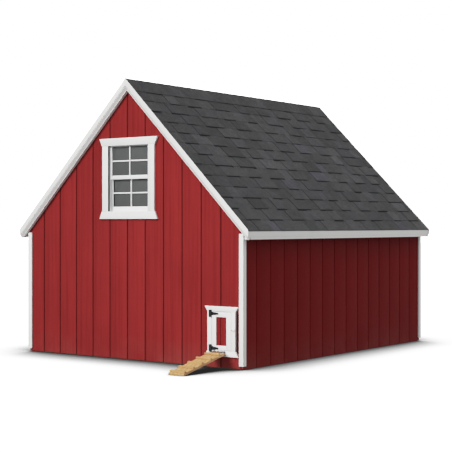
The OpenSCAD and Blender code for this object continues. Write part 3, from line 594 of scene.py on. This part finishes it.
def ridge_caps():
    """Bent cap shingles, each lapping the one before it along the ridge."""
    rng = random.Random(13)
    low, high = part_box("ridge_cap")
    mesh = bmesh.new()
    layer = mesh.loops.layers.float_color.new("tab_tone")
    count = math.ceil((high.y - low.y) / CAP_REVEAL)
    reveal = (high.y - low.y) / count
    foot = CAP_SPAN / math.sqrt(2)
    half = ((CAP_FOLD, CAP_FOLD, CAP_T), (foot, foot + CAP_SINK, CAP_EDGE_T))
    outline = [(-x, drop, thick) for x, drop, thick in reversed(half)] + [(0, CAP_FOLD_DROP, CAP_T), *half]
    for i in range(count):
        y0 = low.y + i * reveal
        y1 = min(y0 + reveal + CAP_LAP, high.y)
        own = tab_tone(rng)
        rings = []
        for y, top in ((y0, high.z), (y1, high.z - CAP_STEP)):
            upper = [mesh.verts.new((x, y, top - drop)) for x, drop, thick in outline]
            lower = [mesh.verts.new((x, y, top - drop - thick)) for x, drop, thick in outline]
            rings.append((upper, lower))
        (u0, l0), (u1, l1) = rings
        faces = []
        for k in range(len(outline) - 1):
            faces.append((u0[k], u0[k + 1], u1[k + 1], u1[k]))
            faces.append((l0[k + 1], l0[k], l1[k], l1[k + 1]))
            faces.append((u0[k + 1], u0[k], l0[k], l0[k + 1]))
            faces.append((u1[k], u1[k + 1], l1[k + 1], l1[k]))
        faces.append((u0[0], u1[0], l1[0], l0[0]))
        faces.append((u1[-1], u0[-1], l0[-1], l1[-1]))
        for corners in faces:
            paint_face(mesh.faces.new(corners), layer, own)
    put("ridge_caps", mesh, granules, "coop", ["ridge_cap"])


ridge_caps()

# ---------- seals, nails and screws ----------

# Dark strips in the window's reveal, painted shade: their thickness, and their distances from the frame's
# and the casings' edges
STRIP_T = 1.2 * MM
STRIP_INSET = 2.4 * MM
STRIP_FRONT = 1.5 * MM
STRIP_BACK = 0.4 * MM
STRIP_BOTTOM = 13 * MM
STRIP_TOP = 15 * MM

# Dark strips at the lower pane's edges, painted shade of the reveal: a flat one on the pane, and a narrow
# one that reaches out to the sash's face
PANE_SHADE_W = 9 * MM
PANE_SHADE_T = 0.9 * MM
PANE_SHADE_RIM_W = 1.0 * MM
PANE_SHADE_RIM_INSET = 3.0 * MM
PANE_SHADE_OVERLAP = 0.2 * MM
PANE_SHADE_SHORT = 0.5 * MM

# Rake mouldings: how far the shingles' top is above the roof's peak and the moulding's lower edge is
# below it, the moulding's thickness, and the height and fit of the cove beads
SHINGLE_RISE = 11.3 * MM
MOULD_DROP = 48.4 * MM
MOULD_T = 17 * MM
COVE_H = 28 * MM
COVE_SINK = 0.4 * MM
COVE_EMBED = 0.2 * MM
COVE_TOE = 0.5 * MM
COVE_ENDS = (0.5 * MM, 9 * MM)

# Heads of nails and screws: sides of their outline, then radius and height of each kind
HEAD_SIDES = 10
NAIL = (3.2 * MM, 0.8 * MM)
CLEAT_SCREW = (3.6 * MM, 1.2 * MM)
EYE_SCREW = (3.2 * MM, 1.0 * MM)
BRACKET_SCREW = (3.4 * MM, 1.2 * MM)

# Nails of the white boards: distances from a board's edges, heights, and places along a board
EDGE_NAIL = 0.020
CASING_NAIL = 0.066
CASING_NAIL_Z = (1.32, 1.50, 1.66, 1.83)
HEAD_NAIL_X = (0.08, 0.27)
CORNER_NAIL = 0.022
CORNER_NAIL_LOW = 0.09
CORNER_NAIL_PITCH = 0.225
CORNER_NAIL_STAGGER = 0.020
CORNER_NAILS = 5
FASCIA_NAIL = 0.035
FASCIA_NAIL_END = 1.42
FASCIA_NAILS = 8
POP_NAIL = 0.03

# Nails of the siding, in upright rows. Outside, none is in the zones of the window (half width, bottom,
# top) and the bird door (least X, top), and inside, none is in a zone in the middle (half width, top).
GABLE_NAIL_X = 0.06
GABLE_NAIL_LOW = 0.06
GABLE_NAIL_PITCH = 0.30
GABLE_NAILS = 8
GABLE_NAIL_TOP = 0.16
SIDE_NAIL_Y = 0.07
SIDE_NAIL_Z = (0.05, 0.35, 0.65, 0.95)
SIDE_NAIL_TOP = 0.08
WINDOW_ZONE = (0.36, 1.20, 1.95)
POP_ZONE = (0.84, 0.60)
INNER_ZONE = (0.50, 1.80)

# The ramp: Y and Z of its hinge's pin, its slope, and places of cleats and screws along it from the pin
RAMP_PIN = (-1.566, 0.141)
RAMP_ANGLE = math.radians(12.30)
CLEATS = 5
CLEAT_FIRST = 0.075
CLEAT_PITCH = 0.11375
CLEAT_TOP = 0.011
CLEAT_SCREW_INSET = 0.022
EYE_SCREW_INSET = 5 * MM
EYE_SCREW_REACHES = (0.026, 0.042)
EYE_TOP = -1.2 * MM
BRACKET_T = 3.3 * MM
BRACKET_SCREW_INSETS = (0.007, 0.045)
BRACKET_SCREW_Z = 0.012


def add_box(mesh, low, high):
    size = Vector(high) - Vector(low)
    middle = (Vector(high) + Vector(low)) / 2
    bmesh.ops.create_cube(mesh, size=1, matrix=Matrix.LocRotScale(middle, None, size))


def add_head(mesh, place, facing, size=NAIL):
    """Low dome of a nail or screw head. The size is its radius and how far it stands proud."""
    radius, proud = size
    turn = Vector(facing).normalized().to_track_quat("Z", "Y")
    rings = [(radius, -0.3 * proud), (radius, 0.35 * proud), (0.7 * radius, 0.85 * proud)]
    turns = [math.tau * i / HEAD_SIDES for i in range(HEAD_SIDES)]
    loops = []
    for r, h in rings:
        loops.append([mesh.verts.new(Vector(place) + turn @ Vector((r * math.cos(t), r * math.sin(t), h)))
                      for t in turns])
    mesh.faces.new(loops[0][::-1])
    mesh.faces.new(loops[-1])
    for low, high in zip(loops, loops[1:]):
        for i in range(HEAD_SIDES):
            j = (i + 1) % HEAD_SIDES
            mesh.faces.new((low[i], low[j], high[j], high[i]))


def window_shade_strips():
    """Dark strips on the casings' inner edges: painted shade in the window's reveal."""
    mesh = bmesh.new()
    low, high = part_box("window_frame")
    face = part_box("window_trim")[0].y
    edge = high.x - STRIP_INSET
    for side in (-1, 1):
        left, right = sorted((side * edge, side * (edge - STRIP_T)))
        add_box(mesh, (left, face + STRIP_FRONT, low.z + STRIP_BOTTOM),
                (right, low.y - STRIP_BACK, high.z - STRIP_TOP))
    put("window_shade_strips", mesh, shade_strip_black, "coop")


def pane_edge_shade_strips():
    """Dark strips along the upright edges of the lower pane, in front of it: painted shade where the sash's
    reveal darkens the glass.
    """
    mesh = bmesh.new()
    sash_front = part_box("lower_sash")[0].y
    low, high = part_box("lower_glass")
    for side in (-1, 1):
        for reach, front in ((PANE_SHADE_W, low.y - PANE_SHADE_T), (PANE_SHADE_RIM_W, sash_front + PANE_SHADE_RIM_INSET)):
            left, right = sorted((side * (high.x + PANE_SHADE_OVERLAP), side * (high.x - reach)))
            add_box(mesh, (left, front, low.z + PANE_SHADE_SHORT),
                    (right, low.y - PANE_SHADE_OVERLAP, high.z - PANE_SHADE_SHORT))
    put("pane_edge_shade_strips", mesh, shade_strip_black, "sliding_sash")


def rake_coves():
    """Painted cove beads in the corner under the rake mouldings."""
    mesh = bmesh.new()
    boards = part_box("front_rake_boards")
    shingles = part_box("right_shingles")
    mould_low = shingles[1].z - (SHINGLE_RISE + MOULD_DROP)
    face = shingles[0].y + MOULD_T
    back = face + COVE_EMBED
    section = ((back, -COVE_SINK), (face - MOULD_T + COVE_TOE, -COVE_SINK), (back, COVE_H))
    for front in (1, -1):
        for side in (1, -1):
            near, far = ([mesh.verts.new((side * x, front * y, mould_low - x - drop)) for y, drop in section]
                         for x in (COVE_ENDS[0], boards[1].x - COVE_ENDS[1]))
            mesh.faces.new(near)
            mesh.faces.new(far[::-1])
            for i in range(3):
                j = (i + 1) % 3
                mesh.faces.new((near[i], far[i], far[j], near[j]))
    bmesh.ops.recalc_face_normals(mesh, faces=mesh.faces)
    put("rake_coves", mesh, trim_level, "coop")


def board_nails():
    """Painted nail heads along the white boards."""
    mesh = bmesh.new()
    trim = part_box("window_trim")
    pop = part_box("pop_door_trim")
    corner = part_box("front_corner_trims")
    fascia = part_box("right_fascia")
    for side in (-1, 1):
        for z in CASING_NAIL_Z:
            add_head(mesh, (side * (trim[1].x - CASING_NAIL), trim[0].y, z), (0, -1, 0))
        for z in (trim[0].z + EDGE_NAIL, trim[1].z - EDGE_NAIL):
            for x in HEAD_NAIL_X:
                add_head(mesh, (side * x, trim[0].y, z), (0, -1, 0))
        for end in (-1, 1):
            face = -end * corner[0].y
            for i in range(CORNER_NAILS):
                z = CORNER_NAIL_LOW + i * CORNER_NAIL_PITCH
                add_head(mesh, (side * (corner[1].x - CORNER_NAIL), face, z), (0, end, 0))
                on_side = (side * corner[1].x, face - end * CORNER_NAIL, z + CORNER_NAIL_STAGGER)
                add_head(mesh, on_side, (side, 0, 0))
        for i in range(FASCIA_NAILS):
            y = FASCIA_NAIL_END * (2 * i / (FASCIA_NAILS - 1) - 1)
            add_head(mesh, (side * fascia[1].x, y, fascia[0].z + FASCIA_NAIL), (side, 0, 0))
    for x in (pop[0].x + POP_NAIL, pop[1].x - POP_NAIL):
        for z in (pop[0].z + EDGE_NAIL, pop[1].z - EDGE_NAIL):
            add_head(mesh, (x, pop[0].y, z), (0, -1, 0))
    put("board_nails", mesh, trim_upright, "coop")


def left_bare(facing, x, z):
    """Whether a place on the front siding, outside (-1) or inside (1), is in a zone without nails."""
    if facing > 0:
        return abs(x) < INNER_ZONE[0] and z < INNER_ZONE[1]
    half, bottom, top = WINDOW_ZONE
    return (abs(x) < half and bottom < z < top) or (x > POP_ZONE[0] and z < POP_ZONE[1])


def siding_nails():
    """Painted nail heads in upright rows, one row between each two grooves, on both faces of the front
    siding and outside on the side walls."""
    mesh = bmesh.new()
    low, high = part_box("front_siding")
    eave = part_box("right_siding")[1].z
    for facing, face in ((-1, low.y), (1, high.y)):
        for i in range(-5, 6):
            x = i * GROOVE_PITCH + GABLE_NAIL_X
            for k in range(GABLE_NAILS):
                z = GABLE_NAIL_LOW + k * GABLE_NAIL_PITCH
                if z < high.z - abs(x) - GABLE_NAIL_TOP and not left_bare(facing, x, z):
                    add_head(mesh, (x, face, z), (0, facing, 0))
    for side in (-1, 1):
        for i in range(-7, 8):
            for z in SIDE_NAIL_Z:
                if z < eave - SIDE_NAIL_TOP:
                    add_head(mesh, (side * high.x, i * GROOVE_PITCH + SIDE_NAIL_Y, z), (side, 0, 0))
    put("siding_nails", mesh, plain_red, "coop")


def ramp_screws():
    """Two screws through each cleat, and two through each of the hinge's eyes."""
    mesh = bmesh.new()
    out = Vector((0, -math.cos(RAMP_ANGLE), -math.sin(RAMP_ANGLE)))
    up = Vector((0, -math.sin(RAMP_ANGLE), math.cos(RAMP_ANGLE)))
    cleats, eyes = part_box("ramp_cleats"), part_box("ramp_hinge_eyes")

    def on_ramp(x, reach, rise):
        return Vector((x, *RAMP_PIN)) + out * reach + up * rise

    for i in range(CLEATS):
        for x in (cleats[0].x + CLEAT_SCREW_INSET, cleats[1].x - CLEAT_SCREW_INSET):
            add_head(mesh, on_ramp(x, CLEAT_FIRST + i * CLEAT_PITCH, CLEAT_TOP), up, CLEAT_SCREW)
    for x in (eyes[0].x + EYE_SCREW_INSET, eyes[1].x - EYE_SCREW_INSET):
        for reach in EYE_SCREW_REACHES:
            add_head(mesh, on_ramp(x, reach, EYE_TOP), up, EYE_SCREW)
    put("ramp_screws", mesh, zinc, "ramp")


def bracket_screws():
    """Screws of the ramp's bracket, in the sill of the bird door."""
    mesh = bmesh.new()
    low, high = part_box("ramp_hinge_bracket")
    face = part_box("pop_door_trim")[0].y - BRACKET_T
    for inset in BRACKET_SCREW_INSETS:
        for x in (low.x + inset, high.x - inset):
            add_head(mesh, (x, face, low.z + BRACKET_SCREW_Z), (0, -1, 0), BRACKET_SCREW)
    put("bracket_screws", mesh, zinc, "coop")


window_shade_strips()
pane_edge_shade_strips()
rake_coves()
board_nails()
siding_nails()
ramp_screws()
bracket_screws()

# ---------- studio ----------

# Light from all round: its levels from above and below, the gain towards +X, and how far along each
# axis of the direction they blend
SKY_LEVEL = 0.60
GROUND_LEVEL = 0.24
FILL_LEVEL = 1.35
SKY_BLEND = 0.6
FILL_FULL = 0.9

# Key light: level, direction that it comes from, and apparent size in degrees
KEY_LEVEL = 1.13
KEY_FROM = Vector((-0.25, -0.86, 0.55))
KEY_SIZE = 25

STAGE_HALF = 60
BACKDROP_RADIUS = 90
BACKDROP_LEVEL = 4.0

# Floor, which glows and has its shadow painted into the glow: how far off a shape still darkens it, the
# share of open sky where its shadow is fullest, the X range in which painted light on the +X side lightens
# the shadow, and its light, which is a line plus a glare
SHADOW_REACH = 0.60
SHADOW_FULL = 0.41
PAINTED_LIGHT_SIDE = (1.22, 1.95)
PAINTED_LIGHT_SIDE_SHARE = 0.55
FLOOR_SLOPE = 0.96
FLOOR_BASE = 0.02
GLARE_POWER = 5.0
GLARE_LEVEL = 1.3

# Film: light in, and brightness out
TONE = ((0, 0), (0.22, 0.22), (0.45, 0.45), (1.16, 0.80), (2.2, 1.0), (4.0, 1.0))

world = bpy.data.worlds.new("studio")
world.use_nodes = True
scene.world = world
sky = world.node_tree
light_way = sky.nodes.new("ShaderNodeSeparateXYZ")
sky.links.new(sky.nodes.new("ShaderNodeTexCoord").outputs["Generated"], light_way.inputs[0])


def sky_ramp(axis, low, high, to_low, to_high):
    """Level that changes smoothly with one axis of the direction that the light comes from."""
    ramp = sky.nodes.new("ShaderNodeMapRange")
    ramp.interpolation_type = "SMOOTHSTEP"
    for name, number in zip(RANGE_SOCKETS, (low, high, to_low, to_high)):
        ramp.inputs[name].default_value = number
    sky.links.new(light_way.outputs[axis], ramp.inputs["Value"])
    return ramp.outputs["Result"]


blend = sky.nodes.new("ShaderNodeMath")
blend.operation = "MULTIPLY"
sky.links.new(sky_ramp("Z", -SKY_BLEND, SKY_BLEND, GROUND_LEVEL, SKY_LEVEL), blend.inputs[0])
sky.links.new(sky_ramp("X", 0.0, FILL_FULL, 1.0, FILL_LEVEL), blend.inputs[1])
sky.links.new(blend.outputs[0], sky.nodes["Background"].inputs["Strength"])
sky.nodes["Background"].inputs["Color"].default_value = (1, 1, 1, 1)

key_data = bpy.data.lights.new("key", "SUN")
key_data.energy = math.pi * KEY_LEVEL
key_data.angle = math.radians(KEY_SIZE)
key = bpy.data.objects.new("key", key_data)
key.rotation_euler = KEY_FROM.to_track_quat("Z", "Y").to_euler()
key.visible_glossy = False
scene.collection.objects.link(key)


def stage_piece(name, mesh, material):
    """Part of the studio: the camera sees it, but it throws no light or shadow on the object."""
    mesh.materials.append(material)
    obj = bpy.data.objects.new(name, mesh)
    scene.collection.objects.link(obj)
    obj.visible_diffuse = False
    obj.visible_glossy = False
    obj.visible_transmission = False
    obj.visible_shadow = False
    return obj


def glowing(g, **constants):
    """Surface that reflects nothing and gives white light."""
    return g.finish((0, 0, 0), 1.0, Specular_IOR_Level=0.0, Emission_Color=(1, 1, 1, 1), **constants)


def pale_floor():
    """Over-bright glowing white floor, with painted shadow where something standing on it shuts out the open
    sky, lightened by painted light on the +X side.
    """
    g = Graph("pale_floor")
    open_sky = g.add("ShaderNodeAmbientOcclusion", samples=24)
    open_sky.inputs["Distance"].default_value = SHADOW_REACH
    ramp = g.add("ShaderNodeMapRange", interpolation_type="SMOOTHSTEP")
    g.feed(ramp.inputs["Value"], open_sky.outputs["AO"])
    ramp.inputs["From Min"].default_value = SHADOW_FULL
    shade = g.calc("SUBTRACT", 1.0, ramp.outputs["Result"])
    painted_side_light = g.calc("MULTIPLY", g.remap(g.axis("X"), *PAINTED_LIGHT_SIDE, 0, PAINTED_LIGHT_SIDE_SHARE), shade)
    lit = g.calc("ADD", ramp.outputs["Result"], painted_side_light)
    glare = g.calc("MULTIPLY", g.calc("POWER", lit, GLARE_POWER), GLARE_LEVEL)
    light = g.calc("ADD", g.calc("MULTIPLY_ADD", lit, FLOOR_SLOPE, FLOOR_BASE), glare)
    g.feed(g.surface.inputs["Emission Strength"], light)
    return glowing(g)


def white_backdrop():
    return glowing(Graph("backdrop_white"), Emission_Strength=BACKDROP_LEVEL)


def floor_shape():
    mesh = bpy.data.meshes.new("floor")
    corners = [(STAGE_HALF * x, STAGE_HALF * y, 0) for x, y in ((-1, -1), (1, -1), (1, 1), (-1, 1))]
    mesh.from_pydata(corners, [], [(0, 1, 2, 3)])
    return mesh


def backdrop_shape():
    mesh = bpy.data.meshes.new("backdrop")
    ball = bmesh.new()
    bmesh.ops.create_uvsphere(ball, u_segments=32, v_segments=16, radius=BACKDROP_RADIUS)
    ball.to_mesh(mesh)
    ball.free()
    return mesh


stage_piece("floor", floor_shape(), pale_floor())
stage_piece("backdrop", backdrop_shape(), white_backdrop())

# ---------- film ----------

scene.view_settings.view_transform = "Standard"
scene.view_settings.use_curve_mapping = True
curves = scene.view_settings.curve_mapping
curves.clip_max_x = TONE[-1][0]
curves.use_clip = True
combined = curves.curves[3]
combined.points[0].location = TONE[0]
combined.points[-1].location = TONE[-1]
for spot in TONE[1:-1]:
    combined.points.new(*spot)
curves.update()
